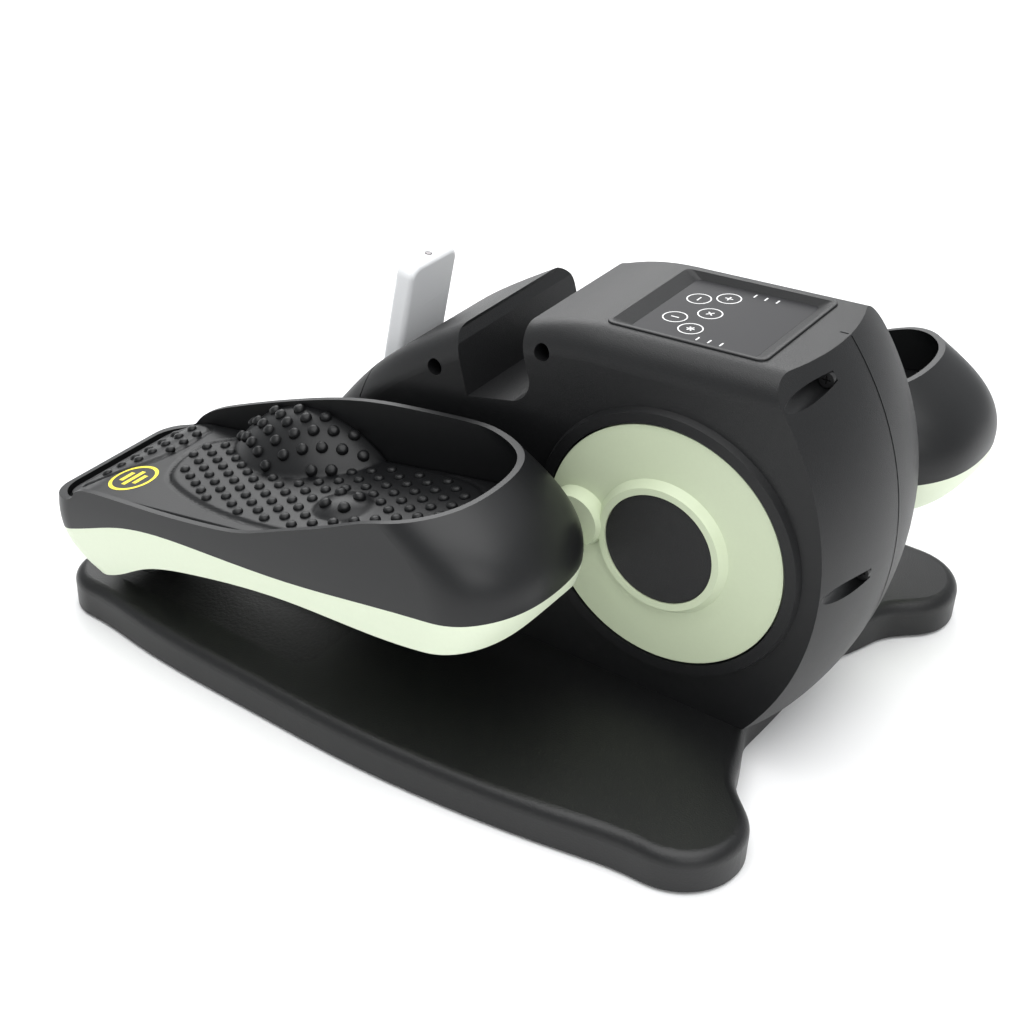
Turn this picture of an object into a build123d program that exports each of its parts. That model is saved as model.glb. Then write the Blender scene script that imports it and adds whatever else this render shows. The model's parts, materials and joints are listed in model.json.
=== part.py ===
from build123d import *
import math
import os

# Motor-driven pedal exerciser. Millimetres, +Z up, +Y towards the toes, +X to the user's right.
# The origin is on the floor, in the middle of the whole object.
# Every sketch lies on a plane whose own origin is on the crank's axis, so the places below are
# measured from that axis along Y, and from the floor along Z.

os.makedirs("parts", exist_ok=True)

# Driving dimensions
crank_y = -138.2
crank_z = 136.0
crank_radius = 67.0
run_gap = 0.3
fit_gap = 0.05

# Base plate
foot_height = 2.5
base_top = 27.7
base_front = 388.0
base_wall = 3.0
track_x = 148.0
track_width = 60.0
track_start = 187.0
track_end = 374.0
track_floor = 20.0

# Body
body_half = 66.0
body_wall = 3.0
body_round = 18.0
seam_x = 10.5
back_radius = 195.0
back_centre_y = 84.5
back_centre_z = 134.0
top_back_z = 262.0
top_slope = 3.4
cover_y = 226.0
cover_z = 180.0
lean = 9.4
ring_radius = 88.0
ring_height = 4.5
disc_radius = 78.0
disc_recess = 6.5
screw_points = [(92, 233), (169, 199), (-66, 249), (-105, 137), (230, 62)]
foot_points = [
    (side_x * x, y)
    for side_x in (-1, 1)
    for x, y in ((172, -75), (190, 120), (172, 352), (60, 362))
]
base_screw_points = [(-57, -30), (57, -30), (-57, 205), (57, 205)]
screw_seat = 21.0
screw_radius = 2.0

# Console
console_size = 95.0
console_length = 102.0
console_y = 11.5
panel_size = 80.0
panel_sink = 3.0

# Drive
shaft_radius = 7.5
bearing_radius = 16.0
bearing_width = 9.0
frame_x = 31.0
plate = 3.0
pulley_radius = 62.0
motor_pulley_radius = 10.0
motor_y = 160.0
motor_z = 84.0
motor_radius = 31.0
belt_x = -4.0
belt_width = 12.0
pin_radius = 6.0

# Pedals: u runs along the sole from the pin towards the toes, w stands up from the sole
pedal_x = 145.0
pedal_half = 62.5
pedal_tilt = 10.0
seam_w = -5.0
mat_floor = 15.5
mat_thickness = 4.5
pedal_wall = 4.0
roller_u = 289.0
roller_w = -37.0
roller_radius = 25.0
roller_width = 38.0
axle_radius = 4.0
# the pedal's outline at each height w: its back end, its front end and its half width
pedal_levels = [
    (-60, -6, 298, 50),
    (-30, -32, 315, 59),
    (-10, -43, 322, 62),
    (8, -45, 320, 62.5),
    (28, -36, 313, 61.5),
    (52, -10, 306, 60),
    (74, 16, 301, 58),
]
# lines along the pedal, each as points (u, w)
seam_line = [(-55, -6.5), (30, -5), (105, -4.5), (180, 1.5), (250, 2.5), (325, -11)]
floor_line = [(-80, 15.5), (278, 15.5), (318, 6.5), (345, 2)]
outer_rim = [(2, 51.5), (33, 49.5), (71, 39), (112, 28.5), (139, 22), (165, 20), (215, 20.5), (262, 23),
             (288, 20.5), (306, 13.5)]
inner_rim = [(2, 51.5), (30, 56), (76, 60), (131, 60), (191, 51), (248, 38), (288, 22), (306, 13.5)]
belly_line = [(-64, 8), (-47, -8), (-32, -21), (-5, -28), (33, -28.5), (107, -19.5), (190, -19), (240, -27),
              (278, -42), (298, -43), (315, -33), (333, -10)]

# Remote
remote_x = 4.5
remote_width = 50.0
remote_thick = 14.0
remote_length = 105.0
remote_top = 54.0


def side_plane(x):
    """Upright plane across X: its x runs towards the toes, its y runs up from the floor."""
    return Plane(origin=(x, crank_y, 0), x_dir=(0, 1, 0), z_dir=(1, 0, 0))


def top_plane(z):
    """Level plane at height z, with its origin under the crank's axis."""
    return Plane(origin=(0, crank_y, z), x_dir=(1, 0, 0), z_dir=(0, 0, 1))


def axle_plane(x):
    """Upright plane across X with its origin on the crank's axis."""
    return Plane(origin=(x, crank_y, crank_z), x_dir=(0, 1, 0), z_dir=(1, 0, 0))


def save(name, part):
    """Label one finished piece and write it as its own file."""
    part.label = name
    export_step(part, f"parts/{name}.step")


# ---------------------------------------------------------------- base plate


def base_outline(inset):
    """The plate's outline, or the same moved in by inset: two wings with round back lobes."""
    front = base_front - inset
    with BuildLine() as half:
        Line((0, front), (172, front))
        ThreePointArc((172, front), (193 - 0.7 * inset, 379.5 - 0.7 * inset), (201 - inset, 358))
        side = [(201, 358), (206, 310), (211.5, 205), (213, 140), (209, 60), (197.5, -20), (190.9, -70.2)]
        Spline([(x - inset, y) for x, y in side], tangents=[(0, -1), (0, -1)])
        ThreePointArc((190.9 - inset, -70.2), (179.1 - 0.7 * inset, -98.9 + 0.7 * inset),
                      (150.4, -110.7 + inset))
        notch = [(127, -102), (109, -85), (86, -75.5), (62, -66)]
        back = [(x + 0.5 * inset, y + 0.85 * inset) for x, y in notch]
        Spline([(150.4, -110.7 + inset)] + back + [(0, -64 + inset)], tangents=[(-1, 0), (-1, 0)])
        mirror(about=Plane.YZ)
    return half.line


with BuildPart() as base_plate:
    with BuildSketch(top_plane(foot_height)):
        add(base_outline(0))
        make_face()
    extrude(amount=base_top - foot_height)
    rim = base_plate.edges().filter_by(lambda e: e.center().Z > base_top - 0.1)
    fillet(rim, radius=8)
    with BuildSketch(top_plane(foot_height)):
        add(base_outline(base_wall + 1))
        make_face()
        for rib_y in (-20, 60, 140, 230, 310):
            with Locations((0, rib_y)):
                Rectangle(440, 2.5, mode=Mode.SUBTRACT)
        for rib_x in (-90, 0, 90):
            with Locations((rib_x, 150)):
                Rectangle(2.5, 540, mode=Mode.SUBTRACT)
        with Locations(*(base_screw_points + foot_points)):
            Circle(11, mode=Mode.SUBTRACT)
    extrude(amount=track_floor - base_wall - foot_height, mode=Mode.SUBTRACT)
    with BuildSketch(top_plane(track_floor)):
        for side in (-1, 1):
            with Locations((side * track_x, (track_start + track_end) / 2)):
                RectangleRounded(track_width, track_end - track_start, 9)
    extrude(amount=20, taper=-20, mode=Mode.SUBTRACT)
    with BuildSketch(top_plane(foot_height)):
        with Locations(*base_screw_points):
            Circle(2.7)
    extrude(amount=40, mode=Mode.SUBTRACT)
    with BuildSketch(top_plane(foot_height)):
        with Locations(*base_screw_points):
            Circle(5.5)
    extrude(amount=8, mode=Mode.SUBTRACT)
save("base_plate", base_plate.part)

with BuildPart() as rubber_feet:
    with BuildSketch(top_plane(0)):
        with Locations(*foot_points):
            Circle(9)
    extrude(amount=foot_height)
save("rubber_feet", rubber_feet.part)

# ---------------------------------------------------------------- body shells


def back_crown(inset):
    """The round back is a ball as far forward as its centre, and a plain block in front of that."""
    with BuildPart() as crown:
        with Locations((0, crank_y + back_centre_y, back_centre_z)):
            Sphere(back_radius - inset)
        with Locations((0, crank_y + back_centre_y, back_centre_z)):
            Box(300, 400, 500, align=(Align.CENTER, Align.MIN, Align.CENTER))
    return crown.part


def body_form(inset, edge_round=0):
    """The body's outer form, or the space inside it, open below, when inset is the wall."""
    floor = base_top if inset == 0 else base_top - 5
    top = top_back_z - inset
    fall = math.tan(math.radians(top_slope))
    top_end = (58, top - fall * 120)
    brow = (104, top - fall * 166 - 7)
    # points over the hump, each with the direction that the wall's thickness takes there
    hump = [(132, 239, 0.2, 1), (163, 223.5, 0.45, 0.9), (190, 206, 0.6, 0.8), (228, 175, 0.7, 0.7),
            (262, 134, 0.85, 0.5), (281, 90, 1, 0.1)]
    hump_line = [(y - inset * forward_share, z - inset * up_share) for y, z, forward_share, up_share in hump]
    with BuildPart() as form:
        with BuildSketch(side_plane(-body_half + inset)):
            with BuildLine():
                Polyline((-125, floor), (-125, top), (-62, top), top_end)
                Spline([top_end, brow], tangents=[(1, -fall), (1, -0.4)])
                Spline([brow] + hump_line, tangents=[(1, -0.4), (0.25, -1)])
                Polyline(hump_line[-1], (286 - inset, floor), (-125, floor))
            make_face()
        extrude(amount=2 * (body_half - inset))
        add(back_crown(inset), mode=Mode.INTERSECT)
        if edge_round > 0:
            side_edges = form.faces().filter_by(Axis.X).edges()
            upper = side_edges.filter_by(lambda e: e.center().Z > 60 and e.center().Y > crank_y - 75)
            fillet(upper, radius=edge_round)
        # finger recess across the whole body, in front of the drum
        with BuildSketch(side_plane(-body_half)):
            with BuildLine():
                Polyline((116, 300), (109 - inset, 243), (101 - inset, 217))
                ThreePointArc((101 - inset, 217), (101 - 0.9 * inset, 203 - 0.5 * inset),
                              (110 - 0.3 * inset, 195 - inset))
                Polyline((110 - 0.3 * inset, 195 - inset), (144 + 0.7 * inset, 187 - inset),
                         (153 + inset, 219), (157 + inset, 225), (157 + inset, 300), (116, 300))
            make_face()
        extrude(amount=2 * body_half, mode=Mode.SUBTRACT)
    return form.part


def cover_tool(gap):
    """Everything in front of the leaning parting line between the shells and the front cover."""
    slope = math.tan(math.radians(lean))
    low = cover_y + (cover_z - base_top) * slope + gap
    high = cover_y + (cover_z - 300) * slope + gap
    with BuildPart() as tool:
        with BuildSketch(side_plane(-100)):
            with BuildLine():
                Polyline((low, base_top), (high, 300), (400, 300), (400, base_top), (low, base_top))
            make_face()
        extrude(amount=200)
    return tool.part


outer_body = body_form(0, body_round)
inner_body = body_form(body_wall, body_round - body_wall)
tilted_top = Plane(
    origin=(0, crank_y + console_y, top_back_z - math.tan(math.radians(top_slope)) * (console_y + 62)),
    x_dir=(1, 0, 0),
    z_dir=(0, math.sin(math.radians(top_slope)), math.cos(math.radians(top_slope))),
)


def screw_posts(side):
    """Posts for the shell screws along X and for the base screws along Z, cut to the body's form."""
    with BuildPart() as posts:
        with BuildSketch(side_plane(seam_x)):
            with Locations(*screw_points):
                Circle(7)
        extrude(amount=side * body_half - seam_x)
        with BuildSketch(top_plane(base_top)):
            with Locations(*[point for point in base_screw_points if point[0] * side > 0]):
                Circle(7)
        extrude(amount=22)
        add(outer_body, mode=Mode.INTERSECT)
    return posts.part


def side_shell(side):
    """One half shell, from the seam to its side face."""
    recess = side * (body_half - disc_recess)
    posts = screw_posts(side)
    with BuildPart() as shell:
        add(outer_body)
        add(inner_body, mode=Mode.SUBTRACT)
        # ring that stands round the crank disc, and the wall behind the disc
        with BuildSketch(axle_plane(recess - side * body_wall)):
            Circle(ring_radius - 2)
        extrude(amount=side * (disc_recess + body_wall - 0.5))
        with BuildSketch(axle_plane(side * (body_half - 0.5))):
            Circle(ring_radius)
        extrude(amount=side * (ring_height + 0.5), taper=20)
        with BuildSketch(axle_plane(recess)):
            Circle(disc_radius + 1.3)
        extrude(amount=side * 30, mode=Mode.SUBTRACT)
        with BuildSketch(axle_plane(recess - side * 10)):
            Circle(13)
        extrude(amount=side * 30, mode=Mode.SUBTRACT)
        add(posts)
        # only this side of the seam, behind the front cover's parting line
        split(bisect_by=Plane.YZ.offset(seam_x), keep=Keep.TOP if side > 0 else Keep.BOTTOM)
        add(cover_tool(-0.8), mode=Mode.SUBTRACT)
        # console opening
        with BuildSketch(tilted_top.offset(-20)):
            RectangleRounded(console_size + 2 * fit_gap, console_length + 2 * fit_gap, 6 + fit_gap)
        extrude(amount=40, mode=Mode.SUBTRACT)
        # screw holes
        with BuildSketch(side_plane(-screw_seat - 1)):
            with Locations(*screw_points):
                Circle(screw_radius + fit_gap)
        extrude(amount=2 * screw_seat + 2, mode=Mode.SUBTRACT)
        if side < 0:
            with BuildSketch(side_plane(-screw_seat)):
                with Locations(*screw_points):
                    Circle(5.4)
            extrude(amount=-body_half, mode=Mode.SUBTRACT)
        for x, y in base_screw_points:
            if x * side > 0:
                with BuildSketch(top_plane(base_top - 1)):
                    with Locations((x, y)):
                        Circle(screw_radius + fit_gap)
                extrude(amount=19, mode=Mode.SUBTRACT)
    return shell.part


left_shell = side_shell(-1)
right_shell = side_shell(1)
save("left_shell", left_shell)
save("right_shell", right_shell)

# ---------------------------------------------------------------- front cover and remote

# The remote leans back towards the user. Its plane's x runs along X, its y up the remote.
remote_plane = Plane(
    origin=(remote_x, crank_y + cover_y + 0.8, cover_z),
    x_dir=(1, 0, 0),
    z_dir=(0, -math.cos(math.radians(lean)), -math.sin(math.radians(lean))),
)
remote_low = remote_top - remote_length
pocket_gap = 0.4

with BuildPart() as front_cover:
    add(outer_body)
    add(inner_body, mode=Mode.SUBTRACT)
    add(cover_tool(0), mode=Mode.INTERSECT)
    # pocket walls that run down inside the hump
    with BuildSketch(remote_plane.offset(0)):
        with Locations((0, remote_low - pocket_gap - 2)):
            Rectangle(remote_width + 5, 120, align=(Align.CENTER, Align.MIN))
    extrude(amount=-remote_thick - 3.6)
    add(outer_body, mode=Mode.INTERSECT)
    with BuildSketch(remote_plane.offset(-1.2)):
        with Locations((0, remote_low - pocket_gap)):
            Rectangle(remote_width + 2 * pocket_gap, 120, align=(Align.CENTER, Align.MIN))
    extrude(amount=-remote_thick - 2 * pocket_gap, mode=Mode.SUBTRACT)
    # opening for the power inlet
    with BuildSketch(side_plane(-23)):
        with Locations((280, 56)):
            Rectangle(40, 26)
    extrude(amount=46, mode=Mode.SUBTRACT)
save("front_cover", front_cover.part)

remote_back = -1.2 - pocket_gap
key_places = [(0, 38), (0, 22), (-13, 8), (13, 8), (0, -6)]
key_radius = 5.5
door_width = 38.0
door_length = 66.0
door_v = remote_low + 6 + door_length / 2
with BuildPart() as remote_body:
    with BuildSketch(remote_plane.offset(remote_back)):
        with Locations((0, remote_low + remote_length / 2)):
            RectangleRounded(remote_width, remote_length, 9)
    extrude(amount=-remote_thick)
    fillet(remote_body.edges().filter_by(lambda e: e.length > 60), radius=3.5)
    # room for the cells behind the door, and for the circuit board
    with BuildSketch(remote_plane.offset(remote_back)):
        with Locations((0, door_v)):
            Rectangle(door_width + 0.2, door_length + 0.2)
    extrude(amount=-1.6, mode=Mode.SUBTRACT)
    with BuildSketch(remote_plane.offset(remote_back - 1.6)):
        with Locations((0, door_v)):
            Rectangle(28, 50)
    extrude(amount=-5, mode=Mode.SUBTRACT)
    with BuildSketch(remote_plane.offset(remote_back - remote_thick)):
        with Locations(*key_places):
            Circle(key_radius + run_gap)
    extrude(amount=3.2, mode=Mode.SUBTRACT)
    # window for the infrared lamp in the top end
    with BuildSketch(Plane(remote_plane.from_local_coords((0, remote_top, remote_back - 7)),
                           x_dir=(1, 0, 0), z_dir=remote_plane.y_dir)):
        Circle(2.6)
    extrude(amount=-6, mode=Mode.SUBTRACT)
save("remote_body", remote_body.part)

with BuildPart() as remote_battery_door:
    with BuildSketch(remote_plane.offset(remote_back)):
        with Locations((0, door_v)):
            RectangleRounded(door_width, door_length, 1)
    extrude(amount=-1.6)
save("remote_battery_door", remote_battery_door.part)

with BuildPart() as remote_ir_led:
    with BuildSketch(Plane(remote_plane.from_local_coords((0, remote_top, remote_back - 7)),
                           x_dir=(1, 0, 0), z_dir=remote_plane.y_dir)):
        Circle(2.5)
    extrude(amount=-6)
    fillet(remote_ir_led.edges().group_by(Axis.Z)[-1], radius=1)
save("remote_ir_led", remote_ir_led.part)

for number, (key_u, key_v) in enumerate(key_places, start=1):
    with BuildPart() as remote_key:
        with BuildSketch(remote_plane.offset(remote_back - remote_thick - 1)):
            with Locations((key_u, key_v)):
                Circle(key_radius)
        extrude(amount=3.2)
    save(f"remote_key_{number}", remote_key.part)

# ---------------------------------------------------------------- console

with BuildPart() as console_bezel:
    with BuildSketch(tilted_top.offset(-8)):
        RectangleRounded(console_size, console_length, 6)
    extrude(amount=9)
    fillet(console_bezel.faces().sort_by(Axis.Z)[-1].edges(), radius=0.8)
    with BuildSketch(tilted_top.offset(1)):
        RectangleRounded(console_size - 5, console_length - 5, 4)
    with BuildSketch(tilted_top.offset(-panel_sink)):
        with Locations((1.5, -1)):
            RectangleRounded(panel_size, panel_size, 3)
    loft(mode=Mode.SUBTRACT)
    with BuildSketch(tilted_top.offset(-panel_sink + 0.01)):
        with Locations((1.5, -1)):
            RectangleRounded(panel_size, panel_size, 3)
    extrude(amount=-2.01, mode=Mode.SUBTRACT)
    with BuildSketch(tilted_top.offset(-9)):
        with Locations((1.5, -1)):
            Rectangle(panel_size - 6, panel_size - 6)
    extrude(amount=6, mode=Mode.SUBTRACT)
save("console_bezel", console_bezel.part)

with BuildPart() as console_panel:
    with BuildSketch(tilted_top.offset(-panel_sink - 2)):
        with Locations((1.5, -1)):
            RectangleRounded(panel_size - 0.2, panel_size - 0.2, 3)
    extrude(amount=2)
save("console_panel", console_panel.part)

with BuildPart() as display_board:
    with BuildSketch(tilted_top.offset(-8)):
        with Locations((1.5, -1)):
            Rectangle(panel_size - 8, panel_size - 8)
    extrude(amount=1.6)
    with BuildSketch(tilted_top.offset(-6.4)):
        with Locations((1.5, -1)):
            with GridLocations(50, 50, 2, 2):
                Circle(2)
    extrude(amount=1.4)
save("display_board", display_board.part)

# ---------------------------------------------------------------- drive

with BuildPart() as drive_frame:
    with BuildSketch(top_plane(base_top)):
        with Locations((0, 70)):
            Rectangle(2 * frame_x, 210)
    extrude(amount=plate)
    for side in (-1, 1):
        with BuildSketch(side_plane(side * frame_x)):
            with BuildLine():
                Polyline((-34, base_top), (-24, 140), (-14, 160), (14, 160), (60, 138), (174, 110),
                         (174, base_top), (-34, base_top))
            make_face()
        extrude(amount=-side * plate)
        with BuildSketch(axle_plane(side * (frame_x - plate))):
            Circle(bearing_radius + 4)
        extrude(amount=side * (bearing_width + 1))
        with BuildSketch(axle_plane(side * (frame_x - plate + 1))):
            Circle(bearing_radius)
        extrude(amount=side * 20, mode=Mode.SUBTRACT)
        with BuildSketch(axle_plane(side * (frame_x - plate - 5))):
            Circle(11)
        extrude(amount=side * 20, mode=Mode.SUBTRACT)
    # opening for the motor's nose in the right plate
    with BuildSketch(side_plane(frame_x - plate - 1)):
        with Locations((motor_y, motor_z)):
            Circle(12)
    extrude(amount=plate + 2, mode=Mode.SUBTRACT)
save("drive_frame", drive_frame.part)

for side, name in ((-1, "left_crank_bearing"), (1, "right_crank_bearing")):
    with BuildPart() as bearing:
        with BuildSketch(axle_plane(side * (frame_x - plate + 1))):
            Circle(bearing_radius)
            Circle(shaft_radius + fit_gap, mode=Mode.SUBTRACT)
        extrude(amount=side * bearing_width)
        with BuildSketch(axle_plane(side * (frame_x - plate + 1 + bearing_width))):
            Circle(bearing_radius - 2.5)
            Circle(bearing_radius - 5, mode=Mode.SUBTRACT)
        extrude(amount=-side * 0.8, mode=Mode.SUBTRACT)
    save(name, bearing.part)

boss_offset = 56.8
boss_radius = 20.0
disc_inner = body_half - disc_recess + 0.8
disc_outer = body_half + 3.3
with BuildPart() as crank_shaft:
    with BuildSketch(axle_plane(-disc_outer + 3)):
        Circle(shaft_radius)
    extrude(amount=2 * (disc_outer - 3))
    chamfer(crank_shaft.edges(), length=1)
save("crank_shaft", crank_shaft.part)

with BuildPart() as crank_pulley:
    with BuildSketch(axle_plane(belt_x - belt_width / 2 - 1)):
        Circle(pulley_radius)
        Circle(pulley_radius - 6, mode=Mode.SUBTRACT)
        Circle(15)
    extrude(amount=belt_width + 2)
    with BuildSketch(axle_plane(belt_x - 2)):
        Circle(pulley_radius - 3)
        with PolarLocations(36, 5):
            Circle(12, mode=Mode.SUBTRACT)
    extrude(amount=4)
    with BuildSketch(axle_plane(-50)):
        Circle(shaft_radius)
    extrude(amount=100, mode=Mode.SUBTRACT)
save("crank_pulley", crank_pulley.part)


def belt_loop(extra):
    """Loop round both pulleys, standing off them by extra."""
    with BuildPart() as loop:
        with BuildSketch(side_plane(belt_x - belt_width / 2)):
            with Locations((0, crank_z)):
                Circle(pulley_radius + extra)
            with Locations((motor_y, motor_z)):
                Circle(motor_pulley_radius + extra)
            make_hull()
        extrude(amount=belt_width)
    return loop.part


with BuildPart() as drive_belt:
    add(belt_loop(run_gap + 2))
    add(belt_loop(run_gap), mode=Mode.SUBTRACT)
save("drive_belt", drive_belt.part)

with BuildPart() as motor:
    with BuildSketch(side_plane(frame_x)):
        with Locations((motor_y, motor_z)):
            Circle(11)
    extrude(amount=-plate - 4)
    with BuildSketch(side_plane(frame_x)):
        with Locations((motor_y, motor_z)):
            Circle(motor_radius)
    extrude(amount=30)
    with BuildSketch(side_plane(frame_x - plate - 4)):
        with Locations((motor_y, motor_z)):
            Circle(4 + fit_gap)
    extrude(amount=30, mode=Mode.SUBTRACT)
save("motor", motor.part)

with BuildPart() as motor_pulley:
    with BuildSketch(side_plane(belt_x - belt_width / 2 - 1)):
        with Locations((motor_y, motor_z)):
            Circle(motor_pulley_radius)
    extrude(amount=belt_width + 2)
    for flange_x in (belt_x - belt_width / 2 - 2.5, belt_x + belt_width / 2 + 1):
        with BuildSketch(side_plane(flange_x)):
            with Locations((motor_y, motor_z)):
                Circle(motor_pulley_radius + 4)
        extrude(amount=1.5)
    with BuildSketch(side_plane(belt_x - 20)):
        with Locations((motor_y, motor_z)):
            Circle(4)
    extrude(amount=40, mode=Mode.SUBTRACT)
save("motor_pulley", motor_pulley.part)

with BuildPart() as motor_shaft:
    with BuildSketch(side_plane(belt_x - belt_width / 2 - 4)):
        with Locations((motor_y, motor_z)):
            Circle(4)
    extrude(amount=60)
save("motor_shaft", motor_shaft.part)

with BuildPart() as control_board:
    with BuildSketch(side_plane(-50)):
        with Locations((90, 75)):
            Rectangle(90, 60)
    extrude(amount=1.6)
    with BuildSketch(side_plane(-48.4)):
        with Locations((70, 80)):
            Rectangle(22, 26)
        with Locations((105, 85)):
            Circle(9)
        with Locations((118, 62)):
            Circle(6)
    extrude(amount=12)
save("control_board", control_board.part)

# ---------------------------------------------------------------- cranks


for side, word in ((-1, "left"), (1, "right")):
    pin_y = -side * crank_radius
    with BuildPart() as disc:
        with BuildSketch(axle_plane(side * disc_inner)):
            Circle(disc_radius)
        extrude(amount=side * (disc_outer - disc_inner))
        with BuildSketch(axle_plane(side * disc_outer)):
            Circle(44)
        extrude(amount=side * 5, taper=38)
        with BuildSketch(axle_plane(side * disc_outer)):
            with Locations((-side * boss_offset, 0)):
                Circle(boss_radius)
        extrude(amount=side * 9, taper=18)
        with BuildSketch(axle_plane(side * (disc_outer + 0.5))):
            Circle(35.8)
        extrude(amount=side * 10, mode=Mode.SUBTRACT)
        with BuildSketch(axle_plane(0)):
            Circle(shaft_radius)
        extrude(amount=side * (disc_outer - 3), mode=Mode.SUBTRACT)
        with BuildSketch(axle_plane(0)):
            with Locations((pin_y, 0)):
                Circle(pin_radius)
        extrude(amount=side * 100, mode=Mode.SUBTRACT)
    save(f"{word}_crank_disc", disc.part)
    with BuildPart() as cap:
        with BuildSketch(axle_plane(side * (disc_outer + 0.5))):
            Circle(35.7)
        extrude(amount=side * 3.7)
        fillet(cap.edges().filter_by(lambda e: abs(e.center().X) > disc_outer + 3), radius=1)
    save(f"{word}_disc_cap", cap.part)
    with BuildPart() as pin:
        with BuildSketch(axle_plane(side * disc_inner)):
            with Locations((pin_y, 0)):
                Circle(pin_radius)
        extrude(amount=side * (pedal_x + 38 - disc_inner))
        with BuildSketch(axle_plane(side * (pedal_x + 38))):
            with Locations((pin_y, 0)):
                Circle(pin_radius + 3)
        extrude(amount=side * 3)
    save(f"{word}_crank_pin", pin.part)

# ---------------------------------------------------------------- pedals

tilt = math.radians(pedal_tilt)
forward = Vector(0, math.cos(tilt), -math.sin(tilt))
upward = Vector(0, math.sin(tilt), math.cos(tilt))


def pin_point(side, x):
    """Point on the pedal pin's axis at distance x from the middle."""
    return Vector(x, crank_y - side * crank_radius, crank_z)


def sole_plane(side, w):
    """Plane along the pedal's sole, w above the pin's axis: x runs across, y towards the toes."""
    return Plane(origin=pin_point(side, side * pedal_x) + upward * w, x_dir=(1, 0, 0), z_dir=upward)


def pedal_side_plane(side, x):
    """Upright plane across X, with its origin on the pin and its x along the sole."""
    return Plane(origin=pin_point(side, x), x_dir=forward, z_dir=(1, 0, 0))


def pedal_outline(back, front, half_width):
    """Closed outline of the pedal at one height: round heel, straight sides, broad toe."""
    corner = 22
    with BuildLine() as half:
        heel = [(0, back), (0.78 * half_width, back + 0.25 * half_width), (half_width, back + 0.75 * half_width)]
        Spline(heel, tangents=[(1, 0), (0, 1)])
        Line(heel[-1], (half_width, front - corner))
        ThreePointArc((half_width, front - corner), (half_width - 0.29 * corner, front - 0.29 * corner),
                      (half_width - corner, front))
        Line((half_width - corner, front), (0, front))
        mirror(about=Plane.YZ)
    return half.line


def pedal_form(side, inset):
    """The whole pedal's outer form, or the same moved in by inset: it bulges most just above the seam."""
    with BuildPart() as form:
        for w, back, front, half_width in pedal_levels:
            with BuildSketch(sole_plane(side, w)):
                add(pedal_outline(back + inset, front - inset, half_width - inset))
                make_face()
        loft()
    return form.part


def space_over(side, line, x_from, x_to, rise=0.0):
    """Everything above a smooth line along the pedal, level past its ends, between two places across it."""
    points = [(u, w + rise) for u, w in line]
    back, front = (-80, points[0][1]), (350, points[-1][1])
    with BuildPart() as space:
        with BuildSketch(pedal_side_plane(side, x_from)):
            with BuildLine():
                Spline(points, tangents=[(1, 0), (1, 0)])
                Polyline(points[-1], front, (front[0], 160), (back[0], 160), back, points[0])
            make_face()
        extrude(amount=x_to - x_from)
    return space.part


def over_all(side, line):
    """Everything above a line along the pedal, right across it."""
    return space_over(side, line, side * pedal_x - 80, side * pedal_x + 80)


def over_belly(side, rise):
    """Everything above the belly's line, moved up by rise."""
    points = [(u, w + rise) for u, w in belly_line]
    with BuildPart() as space:
        with BuildSketch(pedal_side_plane(side, side * pedal_x - 80)):
            with BuildLine():
                Spline(points)
                Polyline(points[-1], (points[-1][0], 160), (points[0][0], 160), points[0])
            make_face()
        extrude(amount=160)
    return space.part


def over_floor(side, rise):
    """Everything above the sole's floor, which bends down under the toes, moved up by rise."""
    points = [(u, w + rise) for u, w in floor_line]
    with BuildPart() as space:
        with BuildSketch(pedal_side_plane(side, side * pedal_x - 80)):
            with BuildLine():
                Polyline(*points, (points[-1][0], 160), (points[0][0], 160), points[0])
            make_face()
        extrude(amount=160)
    return space.part


def foot_space(side):
    """The room for the shoe, inside the tray's walls and above its floor."""
    with BuildPart() as space:
        add(pedal_form(side, pedal_wall))
        add(over_floor(side, 0), mode=Mode.INTERSECT)
    return space.part


def under_space(side):
    """The hollow inside the tray's walls and below its floor."""
    with BuildPart() as space:
        add(pedal_form(side, pedal_wall))
        add(over_floor(side, -2.5), mode=Mode.SUBTRACT)
    return space.part


def shell_form(side, inset):
    """The pale lower shell as a solid: below the seam and above the belly's line."""
    with BuildPart() as form:
        add(pedal_form(side, inset))
        add(over_belly(side, inset), mode=Mode.INTERSECT)
        add(over_all(side, seam_line), mode=Mode.SUBTRACT)
    return form.part


def pedal_cylinder(side, u, w, x_from, x_to, radius):
    """Cylinder across the pedal at (u, w) between two distances from the middle of the object."""
    with BuildPart() as cylinder:
        with BuildSketch(pedal_side_plane(side, side * x_from)):
            with Locations((u, w)):
                Circle(radius)
        extrude(amount=side * (x_to - x_from))
    return cylinder.part


def pedal_block(side, u_from, u_to, w_from, w_to, half_width):
    """Block centred across the pedal."""
    with BuildPart() as block:
        with BuildSketch(sole_plane(side, w_from)):
            with Locations((0, (u_from + u_to) / 2)):
                Rectangle(2 * half_width, u_to - u_from)
        extrude(amount=w_to - w_from)
    return block.part


hub_radius = 12.5
bush_radius = 9.0
bush_length = 16.0
hub_near = pedal_x - pedal_half + 7
hub_far = pedal_x + 36
window_half = roller_width / 2 + 2
window_wall = 2.5
window_from = roller_u - roller_radius - 4
window_to = roller_u + roller_radius + 1.5


def shell_limit(side):
    """What the lower shell and its hub may fill."""
    with BuildPart() as limit:
        add(shell_form(side, 0))
        add(pedal_cylinder(side, 0, 0, hub_near, hub_far, hub_radius))
    return limit.part


def save_pair(name, left_part):
    """Write a left pedal's piece and its mirror image, which sits on the opposite crank."""
    save(f"left_{name}", left_part)
    flipped = mirror(left_part, about=Plane.YZ, mode=Mode.PRIVATE)
    save(f"right_{name}", flipped.moved(Location((0, -2 * crank_radius, 0))))


# the pedals' pieces are drawn on the left pedal
side = -1
middle = side * pedal_x

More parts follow.
